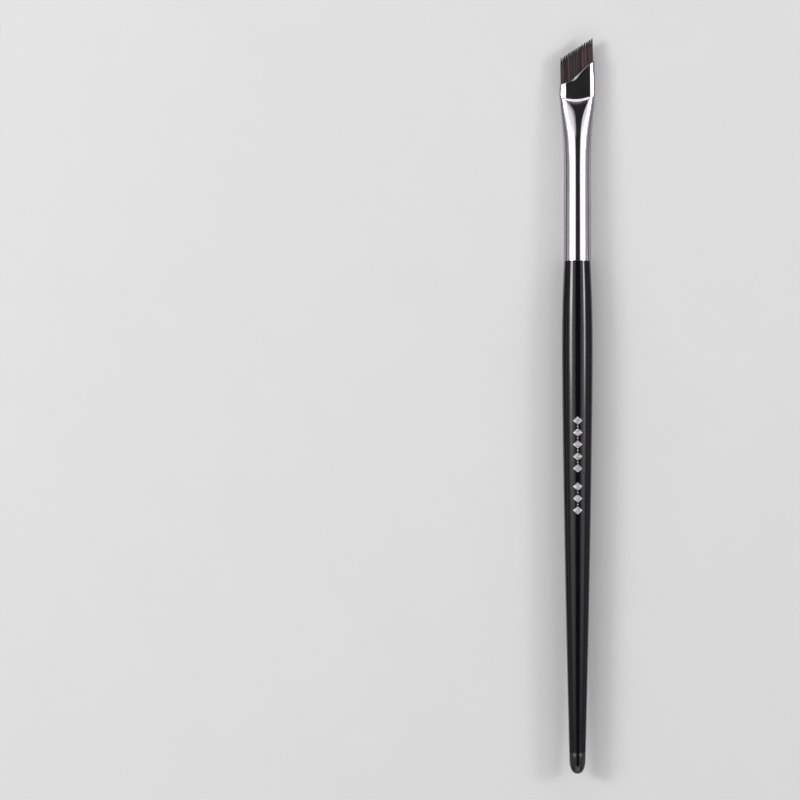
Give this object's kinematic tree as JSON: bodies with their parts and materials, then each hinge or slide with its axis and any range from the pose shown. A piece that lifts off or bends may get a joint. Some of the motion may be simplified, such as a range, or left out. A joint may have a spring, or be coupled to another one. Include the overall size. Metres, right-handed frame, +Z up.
{
  "type": "eyeliner brush",
  "caption": "Slim make-up brush for lining eyes and brows: round tapered lacquered handle, bright pressed-flat ferrule with a slanted mouth, and a thin angled tuft of stiff dark filaments.",
  "frame": {"origin": "centre of the footprint of the brush as it lies on a table, at table level", "axes": "+Y along the brush towards the tips of the tuft, +X to the long side of the slanted tuft, +Z up out of the broad front of the flattened head"},
  "size_m": [0.0084, 0.17, 0.0072],
  "materials": {
    "black_lacquer": "satin",
    "plated_brass": "polished",
    "cured_adhesive": "gloss",
    "dark_filament": "satin"
  },
  "bodies": {
    "root": {"handle": "black_lacquer", "ferrule": "plated_brass", "adhesive_plug": "cured_adhesive", "bristle_tuft": "dark_filament"}
  },
  "joints": []
}
